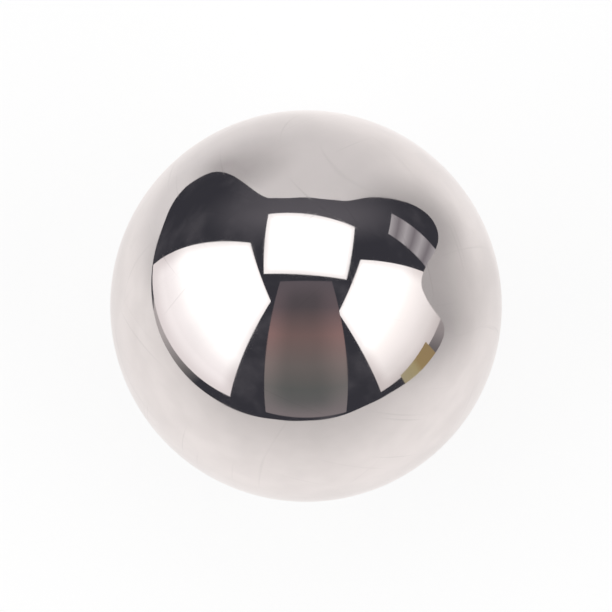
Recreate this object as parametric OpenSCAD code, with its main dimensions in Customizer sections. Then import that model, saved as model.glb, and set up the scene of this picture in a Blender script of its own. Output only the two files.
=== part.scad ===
// Solid steel ball: one true sphere with its centre at the origin.
// Millimetres, +Z up.

/* [Ball] */
// Diameter of the ball
ball_d = 12.7; // [3:0.1:50.8]

/* [Hidden] */

// Facets round a great circle of the sphere
round_facets = 128;
// Bright polished steel, a little warm
steel_grey = [0.8, 0.77, 0.76];

// The ball is forged, ground and lapped from one slug of steel, so it has
// no flat, bore, seam or pole: every section through its centre is the
// same circle.
module ball() {
    color(steel_grey)
        sphere(d = ball_d, $fn = round_facets);
}

ball();
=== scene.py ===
"""One polished steel ball on a pale floor, under three soft lamps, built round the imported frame.

The ball's centre is the origin of the part's frame, and the studio is laid out round it.
"""

import logging
import math
from dataclasses import dataclass, field
from enum import Enum
from functools import reduce
from typing import Any

import bmesh
import bpy
import numpy as np
from mathutils import Euler, Matrix, Vector


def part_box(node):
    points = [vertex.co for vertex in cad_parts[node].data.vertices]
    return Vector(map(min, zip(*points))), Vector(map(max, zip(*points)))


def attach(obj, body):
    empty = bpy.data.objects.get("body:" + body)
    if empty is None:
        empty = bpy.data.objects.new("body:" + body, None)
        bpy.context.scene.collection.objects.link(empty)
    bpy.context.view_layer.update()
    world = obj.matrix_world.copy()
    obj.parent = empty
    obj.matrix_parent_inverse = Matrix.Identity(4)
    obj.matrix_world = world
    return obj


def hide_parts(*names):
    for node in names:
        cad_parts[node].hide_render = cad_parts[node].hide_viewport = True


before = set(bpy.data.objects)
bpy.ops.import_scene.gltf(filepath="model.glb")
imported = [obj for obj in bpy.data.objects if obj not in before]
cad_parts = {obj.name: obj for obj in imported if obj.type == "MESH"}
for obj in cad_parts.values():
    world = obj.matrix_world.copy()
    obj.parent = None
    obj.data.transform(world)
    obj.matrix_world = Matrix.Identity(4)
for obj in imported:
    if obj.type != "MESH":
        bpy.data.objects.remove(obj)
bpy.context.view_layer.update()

BODY = "root"
NODE = "ball"
STEEL_SLOT = "polished_steel"
BAKE_MAP = "OFBake"

log = logging.getLogger("steel_ball")

Colour = tuple[float, float, float]
Spot = tuple[float, float, float]
Span = tuple[float, float]
Stops = tuple[tuple[float, Colour], ...]

WHITE: Colour = (1.0, 1.0, 1.0)

# Rays that find the background white: straight from the camera, or by way of a mirror or glass
BACKDROP_RAYS = ("Camera", "Glossy", "Transmission")


def even(tone: Colour) -> Stops:
    """The stops of a ramp that is one tone all along."""
    return ((0.0, tone), (1.0, tone))


# ---------------------------------------------------------------- shader helpers


class Wire:
    """One output socket of a shader graph, with Python's operators for Math nodes."""

    def __init__(self, graph: "Graph", socket: bpy.types.NodeSocket | None) -> None:
        """Keeps the graph and the socket.

        Args:
            graph: The graph that the socket belongs to.
            socket: The output socket to wrap, or None behind an output node.
        """
        self.graph = graph
        self.socket = socket

    def _maths(self, operation: str, *values: Any) -> "Wire":
        """Adds one Math node and returns its value."""
        return self.graph.add("ShaderNodeMath", {"operation": operation}, dict(enumerate(values)))

    def __add__(self, other: Any) -> "Wire":
        """Sum."""
        return self._maths("ADD", self, other)

    def __radd__(self, other: Any) -> "Wire":
        """Reflected sum."""
        return self._maths("ADD", other, self)

    def __sub__(self, other: Any) -> "Wire":
        """Difference."""
        return self._maths("SUBTRACT", self, other)

    def __rsub__(self, other: Any) -> "Wire":
        """Reflected difference."""
        return self._maths("SUBTRACT", other, self)

    def __mul__(self, other: Any) -> "Wire":
        """Product."""
        return self._maths("MULTIPLY", self, other)

    def __rmul__(self, other: Any) -> "Wire":
        """Reflected product."""
        return self._maths("MULTIPLY", other, self)

    def __abs__(self) -> "Wire":
        """Size without its sign."""
        return self._maths("ABSOLUTE", self)

    def at_least(self, other: Any) -> "Wire":
        """The larger of this and other."""
        return self._maths("MAXIMUM", self, other)

    def step(self, low: float, high: float) -> "Wire":
        """Eases from 0 at low to 1 at high, where high may be the smaller.

        Args:
            low: Value that gives 0.
            high: Value that gives 1.

        Returns:
            The eased value.
        """
        rising = low < high
        inputs = {
            "Value": self, "From Min": min(low, high), "From Max": max(low, high),
            "To Min": float(not rising), "To Max": float(rising),
        }
        return self.graph.add("ShaderNodeMapRange", {"interpolation_type": "SMOOTHSTEP"}, inputs)


class Graph:
    """A node tree that is written as expressions."""

    def __init__(self, owner: Any) -> None:
        """Empties the owner's node tree.

        Args:
            owner: A material or world.
        """
        owner.use_nodes = True
        self.tree = owner.node_tree
        self.tree.nodes.clear()

    def add(self, kind: str, settings: dict[str, Any], inputs: dict[Any, Any], output: Any = 0) -> Wire:
        """Adds one node.

        Args:
            kind: The node's type name.
            settings: The node's own properties, which are set first. "stops" holds a ramp's stops.
            inputs: Values or wires by the socket's index or name.
            output: Index or name of the output to return.

        Returns:
            The chosen output.
        """
        node = self.tree.nodes.new(kind)
        for name, value in settings.items():
            if name == "stops":
                self._set_stops(node.color_ramp, value)
            else:
                setattr(node, name, value)
        for key, value in inputs.items():
            if isinstance(value, Wire):
                self.tree.links.new(value.socket, node.inputs[key])
            else:
                node.inputs[key].default_value = value
        return Wire(self, node.outputs[output] if node.outputs else None)

    @staticmethod
    def _set_stops(ramp: bpy.types.ColorRamp, stops: Stops) -> None:
        """Writes a ramp's stops.

        Args:
            ramp: A new ramp.
            stops: Pairs of place and colour, in order.
        """
        while len(ramp.elements) < len(stops):
            ramp.elements.new(1.0)
        for element, (place, colour) in zip(ramp.elements, stops):
            element.position = place
            element.color = (*colour, 1.0)

    @staticmethod
    def _rgba(colour: Any) -> Any:
        """A wire as it is, or a colour with an alpha of 1."""
        return colour if isinstance(colour, Wire) else (*colour, 1.0)

    def place(self) -> Wire:
        """Object coordinates."""
        return self.add("ShaderNodeTexCoord", {}, {}, "Object")

    def part(self, vector: Wire, axis: str) -> Wire:
        """One of a vector's X, Y and Z."""
        return self.add("ShaderNodeSeparateXYZ", {}, {"Vector": vector}, axis)

    def ray_is(self, *kinds: str) -> Wire:
        """1 for a ray of any of the named kinds, and 0 for the rest.

        Args:
            kinds: Names such as Camera, Glossy or Transmission.

        Returns:
            The mask.
        """
        masks = [self.add("ShaderNodeLightPath", {}, {}, f"Is {kind} Ray") for kind in kinds]
        return reduce(Wire.at_least, masks)

    def vector(self, operation: str, first: Any, second: Any) -> Wire:
        """Adds one Vector Math node and returns its vector."""
        return self.add("ShaderNodeVectorMath", {"operation": operation}, {0: first, 1: second})

    def along(self, vector: Wire, way: Spot) -> Wire:
        """How far a vector runs along a way."""
        return self.add("ShaderNodeVectorMath", {"operation": "DOT_PRODUCT"}, {0: vector, 1: way}, "Value")

    def length(self, vector: Wire) -> Wire:
        """A vector's length."""
        return self.add("ShaderNodeVectorMath", {"operation": "LENGTH"}, {0: vector}, "Value")

    def noise(self, vector: Wire, scale: float, detail: float) -> Wire:
        """Noise on a vector.

        Args:
            vector: Where the noise is read.
            scale: Grains to the vector's unit.
            detail: Octaves of finer noise.

        Returns:
            A value round 0.5.
        """
        inputs = {"Vector": vector, "Scale": scale, "Detail": detail}
        return self.add("ShaderNodeTexNoise", {}, inputs)

    def mix(self, share: Any, first: Any, second: Any) -> Wire:
        """Mixes two colours.

        Args:
            share: 0 for first and 1 for second.
            first: Colour or wire.
            second: Colour or wire.

        Returns:
            The mixed colour.
        """
        # Inputs 6 and 7 and output 2 are the node's colour sockets
        inputs = {"Factor": share, 6: self._rgba(first), 7: self._rgba(second)}
        return self.add("ShaderNodeMix", {"data_type": "RGBA"}, inputs, 2)

    def glow(self, colour: Any) -> Wire:
        """An Emission shader of strength 1."""
        return self.add("ShaderNodeEmission", {}, {"Color": self._rgba(colour), "Strength": 1.0})

    def matt(self, colour: Any) -> Wire:
        """A Diffuse shader."""
        return self.add("ShaderNodeBsdfDiffuse", {}, {"Color": self._rgba(colour)})

    def blend(self, share: Wire, first: Wire, second: Wire) -> Wire:
        """Mixes two shaders, from 0 for first to 1 for second."""
        return self.add("ShaderNodeMixShader", {}, {"Fac": share, 1: first, 2: second})

    def surface(self, shader: Wire) -> None:
        """Sends a shader to the material's output."""
        self.add("ShaderNodeOutputMaterial", {}, {"Surface": shader})


# ---------------------------------------------------------------- mesh helpers


class SeenBy(Enum):
    """Which rays meet a stage piece."""

    EVERYTHING = ("camera", "diffuse", "glossy", "transmission", "shadow")
    MIRRORS = ("glossy", "transmission")
    ALL_BUT_MIRRORS = ("camera", "diffuse", "shadow")
    DULL_THINGS = ("diffuse",)

    def apply(self, piece: bpy.types.Object) -> None:
        """Sets the piece's ray visibility.

        Args:
            piece: The stage piece to set.
        """
        for ray in SeenBy.EVERYTHING.value:
            setattr(piece, f"visible_{ray}", ray in self.value)


def new_object(name: str, form: bmesh.types.BMesh, material: bpy.types.Material) -> bpy.types.Object:
    """Turns a bmesh into a smooth object at the origin and frees the bmesh.

    Args:
        name: Name for the object and its mesh.
        form: The finished shape, in the part's frame.
        material: The only material.

    Returns:
        The new object, linked to the scene.
    """
    for face in form.faces:
        face.smooth = True
    mesh = bpy.data.meshes.new(name)
    form.to_mesh(mesh)
    form.free()
    mesh.materials.append(material)
    piece = bpy.data.objects.new(name, mesh)
    bpy.context.scene.collection.objects.link(piece)
    return piece


def stage_object(
    name: str, form: bmesh.types.BMesh, material: bpy.types.Material, seen_by: SeenBy
) -> bpy.types.Object:
    """Makes a piece of the studio.

    Args:
        name: Name for the object and its mesh.
        form: The finished shape, in the part's frame.
        material: The only material.
        seen_by: The rays that meet it.

    Returns:
        The new stage object.
    """
    piece = new_object(name, form, material)
    seen_by.apply(piece)
    return piece


# ---------------------------------------------------------------- the steel ball


@dataclass(frozen=True)
class PolishedSteel:
    """Lapped and polished bare steel: a mirror with a faint haze and hairlines from handling.

    Scales are in grains to the metre. A span holds the noise values from which, and at which, a mark shows.
    """

    tone: Colour = (0.815, 0.782, 0.772)
    cloud_tone: Colour = (0.78, 0.75, 0.74)
    hair_tone: Colour = (0.755, 0.725, 0.715)
    shine: float = 0.025
    haze: float = 0.04
    haze_scale: float = 600.0
    haze_octaves: float = 4.0
    haze_span: Span = (0.35, 0.75)
    hair_rough: float = 0.065
    hair_scale: float = 6000.0
    hair_length: float = 40.0
    hair_octaves: float = 2.0
    hair_span: Span = (0.665, 0.765)
    hair_turns: tuple[Spot, ...] = ((0.4, 0.9, 0.2), (1.3, -0.5, 1.1), (-0.8, 0.3, 2.3))

    def build(self) -> bpy.types.Material:
        """Makes the material.

        Returns:
            A material that reads Object coordinates only.
        """
        steel = bpy.data.materials.new(STEEL_SLOT)
        graph = Graph(steel)
        place = graph.place()
        haze = graph.noise(place, self.haze_scale, self.haze_octaves).step(*self.haze_span)
        hairs = self._hairlines(graph, place)
        tone = graph.mix(haze, self.tone, self.cloud_tone)
        inputs = {
            "Base Color": graph.mix(hairs, tone, self.hair_tone),
            "Metallic": 1.0,
            "Roughness": self.shine + haze * self.haze + hairs * self.hair_rough,
        }
        graph.surface(graph.add("ShaderNodeBsdfPrincipled", {}, inputs))
        return steel

    def _hairlines(self, graph: Graph, place: Wire) -> Wire:
        """Draws sparse hairlines: short, thin arcs that run round the ball in a few ways.

        Args:
            graph: The material's graph.
            place: Object coordinates.

        Returns:
            A mask that is 1 on the lines.
        """
        stretch = (1.0, self.hair_length, self.hair_length)
        masks = []
        for turn in self.hair_turns:
            inputs = {"Vector": place, "Rotation": turn, "Scale": stretch}
            turned = graph.add("ShaderNodeMapping", {"vector_type": "TEXTURE"}, inputs)
            masks.append(graph.noise(turned, self.hair_scale, self.hair_octaves).step(*self.hair_span))
        return reduce(Wire.at_least, masks)


@dataclass
class SteelBall:
    """The ball: an even mesh of six square patches blown up to a true sphere.

    A patch is patch_cells faces long and wide, and it has its own field of the UV map, with a gap round it.
    """

    centre: Vector
    radius: float
    patch_cells: int = 80
    patch_gap: float = 0.02
    patch_columns: int = 3
    patch_rows: int = 2
    finish: PolishedSteel = field(default_factory=PolishedSteel)

    @classmethod
    def from_frame(cls) -> "SteelBall":
        """Reads the ball's centre and radius from its node's box.

        Returns:
            A ball of the frame's own size.
        """
        low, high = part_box(NODE)
        return cls((low + high) / 2, max(high - low) / 2)

    def build(self) -> bpy.types.Object:
        """Builds and dresses the ball.

        Returns:
            The ball's object, which rides on the root body.
        """
        form = bmesh.new()
        bmesh.ops.create_cube(form, size=2.0)
        bmesh.ops.subdivide_edges(form, edges=form.edges[:], cuts=self.patch_cells - 1, use_grid_fill=True)
        self._unwrap(form)
        for vert in form.verts:
            # The tangent sets the lines at equal angles, so the cells stay nearly even
            spread = Vector(math.tan(part * math.pi / 4) for part in vert.co)
            vert.co = self.centre + spread.normalized() * self.radius
        ball = new_object("steel_ball", form, self.finish.build())
        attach(ball, BODY)
        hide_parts(NODE)
        return ball

    def _unwrap(self, form: bmesh.types.BMesh) -> None:
        """Lays the six patches out side by side, before the cube is blown up.

        Args:
            form: The subdivided cube, two units across.
        """
        layer = form.loops.layers.uv.new(BAKE_MAP)
        share = (1.0 - self.patch_gap) / 2
        for face in form.faces:
            column = max(range(3), key=lambda axis: abs(face.normal[axis]))
            row = int(face.normal[column] > 0)
            first, second = (axis for axis in range(3) if axis != column)
            for loop in face.loops:
                across = column + loop.vert.co[first] * share + 0.5
                up = row + loop.vert.co[second] * share + 0.5
                loop[layer].uv = (across / self.patch_columns, up / self.patch_rows)


# ---------------------------------------------------------------- lamps and cards


@dataclass(frozen=True)
class Aim:
    """A way out from the ball: a bearing from +X towards +Y and a height over the level, in degrees."""

    bearing: float
    height: float

    def turn(self) -> Matrix:
        """Turn that takes +Z to this way and leaves +Y level."""
        angles = (0.0, math.radians(90 - self.height), math.radians(self.bearing))
        return Euler(angles).to_matrix().to_4x4()

    def at(self, distance: float) -> Vector:
        """The place at a distance along this way."""
        return self.turn() @ Vector((0.0, 0.0, distance))


@dataclass
class Panel:
    """A flat rectangle in the studio, which hangs square to the ball unless its back aims elsewhere."""

    name: str
    aim: Aim
    distance: float
    width: float
    length: float
    roll: float = 0.0
    back: Aim | None = None

    def place(self) -> Matrix:
        """Works out where the panel hangs.

        Returns:
            A matrix whose Y runs down the face and whose Z comes out of the back.
        """
        roll = Matrix.Rotation(math.radians(self.roll - 90), 4, "Z")
        return Matrix.Translation(self.aim.at(self.distance)) @ (self.back or self.aim).turn() @ roll


@dataclass
class Card(Panel):
    """A plain card that only the steel mirrors, toned down its length."""

    stops: Stops = even(WHITE)
    strength: float = 1.0
    top_share: float = 1.0
    edge_tone: Colour = WHITE
    soft_edge: float = 0.04

    def build(self) -> bpy.types.Object:
        """Hangs the card.

        Returns:
            The card's stage object.
        """
        form = bmesh.new()
        form.loops.layers.uv.new("Card")
        bmesh.ops.create_grid(form, x_segments=1, y_segments=1, size=0.5, calc_uvs=True)
        top = [vert for vert in form.verts if vert.co.y < 0]
        bmesh.ops.scale(form, vec=(self.top_share, 1.0, 1.0), verts=top)
        bmesh.ops.scale(form, vec=(self.width, self.length, 1.0), verts=form.verts)
        bmesh.ops.transform(form, matrix=self.place(), verts=form.verts)
        bmesh.ops.reverse_faces(form, faces=form.faces)
        return stage_object(self.name, form, self._dress(), SeenBy.MIRRORS)

    def _dress(self) -> bpy.types.Material:
        """Makes the card's glow, which turns to the edge tone along all four sides.

        Returns:
            A material that reads the card's UV map.
        """
        material = bpy.data.materials.new(self.name)
        graph = Graph(material)
        face = graph.add("ShaderNodeTexCoord", {}, {}, "UV")
        across, down = (graph.part(face, axis) for axis in "XY")
        inside = abs(across - 0.5).step(0.5, 0.5 - self.soft_edge / self.width)
        inside *= abs(down - 0.5).step(0.5, 0.5 - self.soft_edge / self.length)
        tone = graph.add("ShaderNodeValToRGB", {"stops": self.stops}, {0: down})
        tone = graph.vector("MULTIPLY", tone, graph.mix(inside, self.edge_tone, WHITE))
        graph.surface(graph.add("ShaderNodeEmission", {}, {"Color": tone, "Strength": self.strength}))
        return material


@dataclass
class SoftLamp(Card):
    """A soft box: a lamp for the floor and paper, and a lit face for the steel to mirror."""

    strength: float = 1.5
    edge_tone: Colour = (0.76, 0.74, 0.74)

    def build(self) -> bpy.types.Object:
        """Hangs the lamp and its face.

        Returns:
            The face's stage object.
        """
        data = bpy.data.lights.new(f"{self.name}_light", "AREA")
        data.shape = "RECTANGLE"
        data.size = self.width
        data.size_y = self.length
        data.energy = self.strength * math.pi * self.width * self.length
        lamp = bpy.data.objects.new(data.name, data)
        bpy.context.scene.collection.objects.link(lamp)
        lamp.matrix_world = self.place()
        SeenBy.DULL_THINGS.apply(lamp)
        return super().build()


# White down most of the face, and grey towards its low end
LEFT_FACE: Stops = (
    (0.0, WHITE), (0.74, WHITE), (0.80, (0.88, 0.865, 0.865)), (0.85, (0.78, 0.755, 0.76)),
    (0.90, (0.73, 0.70, 0.705)), (1.0, (0.80, 0.77, 0.775)),
)
RIGHT_FACE: Stops = (
    (0.0, WHITE), (0.60, WHITE), (0.72, (0.84, 0.81, 0.80)), (0.82, (0.73, 0.70, 0.695)),
    (0.90, (0.62, 0.59, 0.585)), (1.0, (0.63, 0.60, 0.595)),
)

# Dull red about the middle, and grey-green below
DARK_PILLAR: Stops = (
    (0.0, (0.085, 0.08, 0.09)), (0.22, (0.1, 0.085, 0.093)), (0.40, (0.2, 0.135, 0.13)),
    (0.58, (0.17, 0.15, 0.145)), (0.74, (0.125, 0.13, 0.127)), (1.0, (0.16, 0.153, 0.16)),
)

# Light bars, with a dark gap between each two
LADDER_BAR: Colour = (0.46, 0.44, 0.46)
LADDER_GAP: Colour = (0.22, 0.20, 0.22)
LADDER_STEPS = 6
LADDER: Stops = tuple(
    (i / LADDER_STEPS, LADDER_GAP if i % 2 else LADDER_BAR) for i in range(LADDER_STEPS + 1)
)

# Brown, and olive towards the front
GILT: Stops = (
    (0.0, (0.34, 0.25, 0.13)), (0.45, (0.35, 0.26, 0.13)), (0.60, (0.42, 0.36, 0.20)),
    (1.0, (0.42, 0.37, 0.24)),
)

# Grey, and towards the front almost as dark as the room
WALL_END: Colour = (0.05, 0.05, 0.06)
LEFT_WALL: Stops = (
    (0.0, (0.50, 0.47, 0.47)), (0.45, (0.48, 0.45, 0.45)), (0.80, (0.20, 0.19, 0.19)), (1.0, WALL_END),
)
RIGHT_WALL: Stops = (
    (0.0, (0.40, 0.37, 0.37)), (0.35, (0.33, 0.30, 0.305)), (0.60, (0.18, 0.165, 0.17)), (1.0, WALL_END),
)

# Over 1, because the lamps on both sides light the pillar's edges
PILLAR_EDGE: Colour = (1.5, 1.38, 1.38)

# Each has its name, its way out from the ball, and its distance, width and length in metres
PANELS: tuple[Card, ...] = (
    SoftLamp("left_lamp", Aim(168, 43), 0.28, 0.30, 0.43, roll=29, back=Aim(193, 6), stops=LEFT_FACE),
    SoftLamp("right_lamp", Aim(1, 47), 0.30, 0.27, 0.39, roll=-23, back=Aim(344, 10), stops=RIGHT_FACE),
    SoftLamp("back_lamp", Aim(85, 53), 0.45, 0.41, 0.30, roll=164, back=Aim(102, 57)),
    Card(
        "dark_pillar", Aim(270, 63), 0.35, 0.33, 0.62, stops=DARK_PILLAR, top_share=0.75,
        edge_tone=PILLAR_EDGE, soft_edge=0.12,
    ),
    Card("ladder_card", Aim(32, 11), 0.42, 0.10, 0.20, roll=118, stops=LADDER),
    Card("gilt_card", Aim(332, 10), 0.20, 0.04, 0.07, roll=-106, stops=GILT),
    Card("left_wall", Aim(193, 0), 0.50, 0.20, 0.40, roll=90, stops=LEFT_WALL),
    Card("right_wall", Aim(345, 0), 0.50, 0.20, 0.24, roll=-90, stops=RIGHT_WALL),
)


# ---------------------------------------------------------------- paper, floor and room


@dataclass(frozen=True)
class PaintedShade:
    """Painted shade on the paper: a tone that eases in from none_at to full_at of a measure in ball radii.
    """

    tone: Colour
    none_at: float
    full_at: float
    share: float = 1.0

    def measure(self, graph: Graph, place: Wire) -> Wire:
        """What runs from none_at to full_at, which each kind of shade says."""
        raise NotImplementedError

    def over(self, graph: Graph, place: Wire, tone: Any) -> Wire:
        """Lays the painted shade over a tone.

        Args:
            graph: The paper's graph.
            place: Object coordinates in ball radii.
            tone: The tone below.

        Returns:
            The shaded tone.
        """
        mask = self.measure(graph, place).step(self.none_at, self.full_at)
        return graph.mix(mask * self.share, tone, self.tone)


@dataclass(frozen=True)
class PaintedSpotShade(PaintedShade):
    """Painted shade that eases in towards a spot."""

    spot: Spot = (0.0, 0.0, 0.0)

    def measure(self, graph: Graph, place: Wire) -> Wire:
        """The distance from the spot."""
        return graph.length(graph.vector("SUBTRACT", place, self.spot))


@dataclass(frozen=True)
class PaintedSlopeShade(PaintedShade):
    """Painted shade that eases in along one way."""

    way: Spot = (0.0, 0.0, 1.0)

    def measure(self, graph: Graph, place: Wire) -> Wire:
        """The distance along the way."""
        return graph.along(place, self.way)


# Bearing from +X towards +Y in degrees, and height over the ball's centre in ball radii
RIM: tuple[Span, ...] = (
    (0, 1.4), (10, 1.75), (18, 1.4), (26, 0.25), (34, 0.0), (42, 0.25), (60, 1.3), (68, 1.9), (80, 2.1),
    (100, 2.05), (112, 1.75), (118, 0.5), (122, -0.35), (128, -0.7), (136, -0.95), (143, -0.85),
    (150, -0.55), (190, 0.25), (225, 1.1), (255, 1.68), (270, 1.8), (300, 1.75), (315, 1.5), (330, 1.05),
    (345, 0.65), (351, 0.6), (356, 1.0),
)

# Painted shade on the paper, in order: the raised curl, behind the ball, a fold, the left side and the
# right curl. Each has its tone, and where it starts and where it is full, in ball radii
PAINTED_SHADES: tuple[PaintedShade, ...] = (
    PaintedSlopeShade((0.62, 0.595, 0.59), -1.0, 2.2),
    PaintedSlopeShade((0.78, 0.755, 0.755), 1.0, 2.2, way=(-0.34, 0.94, 0.0)),
    PaintedSpotShade((0.30, 0.28, 0.285), 1.6, 0.3, share=0.6, spot=(-1.5, 2.9, 0.0)),
    PaintedSpotShade((0.50, 0.48, 0.48), 1.0, 0.0, share=0.4, spot=(-3.3, 1.0, 0.0)),
    PaintedSlopeShade((0.46, 0.44, 0.44), 1.7, 3.5, way=(1.0, 0.27, 0.0)),
)

# Where the ball stands on the paper, in ball radii from its centre
FOOT: Spot = (0.0, 0.0, -1.0)


@dataclass
class CurledPaper:
    """The pale paper under the ball, as the steel mirrors it: flat inside, with a waving rim.

    The radius is the ball's, in metres. All other lengths are in ball radii. Its tone carries painted
    shade, and part of its light is a painted glow.
    """

    radius: float
    tone: Colour = (1.0, 0.965, 0.955)
    mottle_tone: Colour = (0.96, 0.925, 0.915)
    mottle_scale: float = 1.6
    mottle_octaves: float = 2.0
    mottle_span: Span = (0.35, 0.65)
    # Share of the paper's tone that is painted glow, given off as light
    glow: float = 0.55
    glow_span: Span = (0.1, 1.15)
    widest: float = 3.45
    lift: float = 0.003
    curl: float = 3.0
    rim_ease: float = 3.5
    rim_samples: int = 9
    rings: int = 40
    spokes: int = 360

    def build(self) -> bpy.types.Object:
        """Spins a spoke into a disc and bends it up to its rim.

        Returns:
            The paper's stage object.
        """
        form = bmesh.new()
        row = [form.verts.new((i / self.rings, 0, 0)) for i in range(1, self.rings + 1)]
        edges = [form.edges.new(pair) for pair in zip(row, row[1:])]
        bmesh.ops.spin(
            form, geom=row + edges, axis=(0, 0, 1), cent=(0, 0, 0), angle=math.tau,
            steps=self.spokes, use_merge=True,
        )
        low = self.lift - 1.0
        for vert in form.verts:
            share = math.hypot(vert.co.x, vert.co.y)
            rim = self._rim(math.degrees(math.atan2(vert.co.y, vert.co.x)))
            vert.co *= self.widest
            vert.co.z = low + (rim - low) * share ** self.curl
        bmesh.ops.scale(form, vec=(self.radius,) * 3, verts=form.verts)
        bmesh.ops.recalc_face_normals(form, faces=form.faces)
        return stage_object("curled_paper", form, self._dress(), SeenBy.MIRRORS)

    def _rim(self, bearing: float) -> float:
        """Reads the rim's height, in ball radii, with its corners rounded off."""
        near = bearing + np.linspace(-self.rim_ease, self.rim_ease, self.rim_samples)
        return float(np.interp(near, *zip(*RIM), period=360).mean())

    def _dress(self) -> bpy.types.Material:
        """Makes the matt paper, with painted shade in its tone and a painted glow that fails under the
        ball, where little light gets in.

        Returns:
            A material that reads Object coordinates.
        """
        material = bpy.data.materials.new("curled_paper")
        graph = Graph(material)
        place = graph.vector("MULTIPLY", graph.place(), (1 / self.radius,) * 3)
        mottle = graph.noise(place, self.mottle_scale, self.mottle_octaves).step(*self.mottle_span)
        tone = graph.mix(mottle, self.tone, self.mottle_tone)
        # Painted shade: darker tones laid over the paper where it would get less light
        for shade in PAINTED_SHADES:
            tone = shade.over(graph, place, tone)
        # Painted glow: a share of the paper's tone given off as light, which fades out towards the foot
        from_foot = graph.length(graph.vector("SUBTRACT", place, FOOT))
        share = from_foot.step(*self.glow_span) * self.glow
        graph.surface(graph.blend(share, graph.matt(tone), graph.glow(tone)))
        return material


@dataclass
class Floor:
    """The pale floor that the camera sees: white round the ball, and a pale grey far off.

    The spans are distances from the ball's centre: foot in ball radii, and bright and far in metres.
    """

    ball: SteelBall
    tone: Colour = (0.94, 0.94, 0.94)
    far_tone: Colour = (0.78, 0.775, 0.775)
    half_width: float = 2.0
    cells: int = 4
    foot_share: float = 0.85
    foot: Span = (1.0, 1.35)
    bright: Span = (0.02, 0.10)
    far: Span = (0.02, 0.30)

    def build(self) -> bpy.types.Object:
        """Lays the floor.

        Returns:
            The floor's stage object.
        """
        form = bmesh.new()
        level = self.ball.centre.z - self.ball.radius
        bmesh.ops.create_grid(form, x_segments=self.cells, y_segments=self.cells, size=self.half_width)
        bmesh.ops.translate(form, vec=(0, 0, level), verts=form.verts)
        return stage_object("floor", form, self._dress(), SeenBy.ALL_BUT_MIRRORS)

    def _dress(self) -> bpy.types.Material:
        """Makes the matt floor, whose shadow is strongest under the ball.

        Returns:
            A material that reads Object coordinates.
        """
        material = bpy.data.materials.new("floor")
        graph = Graph(material)
        away = graph.length(graph.place())
        near, past = (self.ball.radius * part for part in self.foot)
        share = away.step(near, past) * self.foot_share + away.step(*self.bright) * (1.0 - self.foot_share)
        seen = graph.ray_is(*BACKDROP_RAYS)
        shine = graph.glow(graph.mix(away.step(*self.far), WHITE, self.far_tone))
        graph.surface(graph.blend(seen * share, graph.matt(self.tone), shine))
        return material


@dataclass
class DarkRoom:
    """The unlit, uneven room round the table, which the steel mirrors: a little lighter high up behind.

    The radius is in metres, and the high and behind spans are in room radii along Z and Y.
    """

    radius: float = 1.2
    fineness: int = 4
    tone: Colour = (0.042, 0.042, 0.052)
    uneven_tone: Colour = (0.075, 0.073, 0.085)
    uneven_scale: float = 3.0
    uneven_octaves: float = 3.0
    uneven_span: Span = (0.45, 0.75)
    high_tone: Colour = (0.12, 0.115, 0.13)
    high: Span = (-0.1, 0.6)
    behind: Span = (0.55, 0.8)

    def build(self) -> bpy.types.Object:
        """Raises the room.

        Returns:
            The room's stage object.
        """
        form = bmesh.new()
        bmesh.ops.create_icosphere(form, subdivisions=self.fineness, radius=self.radius)
        return stage_object("dark_room", form, self._dress(), SeenBy.MIRRORS)

    def _dress(self) -> bpy.types.Material:
        """Makes the room's dim glow.

        Returns:
            A material that reads Object coordinates.
        """
        material = bpy.data.materials.new("dark_room")
        graph = Graph(material)
        place = graph.vector("MULTIPLY", graph.place(), (1 / self.radius,) * 3)
        uneven = graph.noise(place, self.uneven_scale, self.uneven_octaves).step(*self.uneven_span)
        tone = graph.mix(uneven, self.tone, self.uneven_tone)
        lighter = graph.part(place, "Z").step(*self.high) * graph.part(place, "Y").step(*self.behind)
        graph.surface(graph.glow(graph.mix(lighter, tone, self.high_tone)))
        return material


@dataclass
class SoftWorld:
    """Even light from all round, which the camera and mirrors see as white."""

    ambient: float = 0.38

    def build(self) -> None:
        """Makes the world."""
        world = bpy.data.worlds.new("soft_world")
        bpy.context.scene.world = world
        graph = Graph(world)
        strength = self.ambient + graph.ray_is(*BACKDROP_RAYS) * (1.0 - self.ambient)
        back = graph.add("ShaderNodeBackground", {}, {"Color": (*WHITE, 1.0), "Strength": strength})
        graph.add("ShaderNodeOutputWorld", {}, {"Surface": back})


@dataclass
class DownCamera:
    """A long lens straight above the ball, which fills a share of the frame."""

    ball: SteelBall
    distance: float = 0.42
    fill: float = 0.64
    sensor: float = 36.0

    def build(self) -> bpy.types.Object:
        """Hangs the camera.

        Returns:
            The camera's object.
        """
        data = bpy.data.cameras.new("camera")
        data.sensor_width = self.sensor
        data.lens = self.sensor * self.fill * self.distance / (2 * self.ball.radius)
        camera = bpy.data.objects.new("camera", data)
        bpy.context.scene.collection.objects.link(camera)
        camera.location = self.ball.centre + Vector((0, 0, self.distance))
        bpy.context.scene.camera = camera
        return camera


def main() -> None:
    """Builds the ball and the studio round it, in order."""
    logging.basicConfig(level=logging.INFO, format="%(name)s: %(message)s")
    bpy.context.scene.view_settings.view_transform = "Standard"
    ball = SteelBall.from_frame()
    for part in (ball, Floor(ball), CurledPaper(ball.radius), DarkRoom(), *PANELS):
        piece = part.build()
        log.info("%s: %d faces", piece.name, len(piece.data.polygons))
    SoftWorld().build()
    DownCamera(ball).build()


if __name__ == "__main__":
    main()
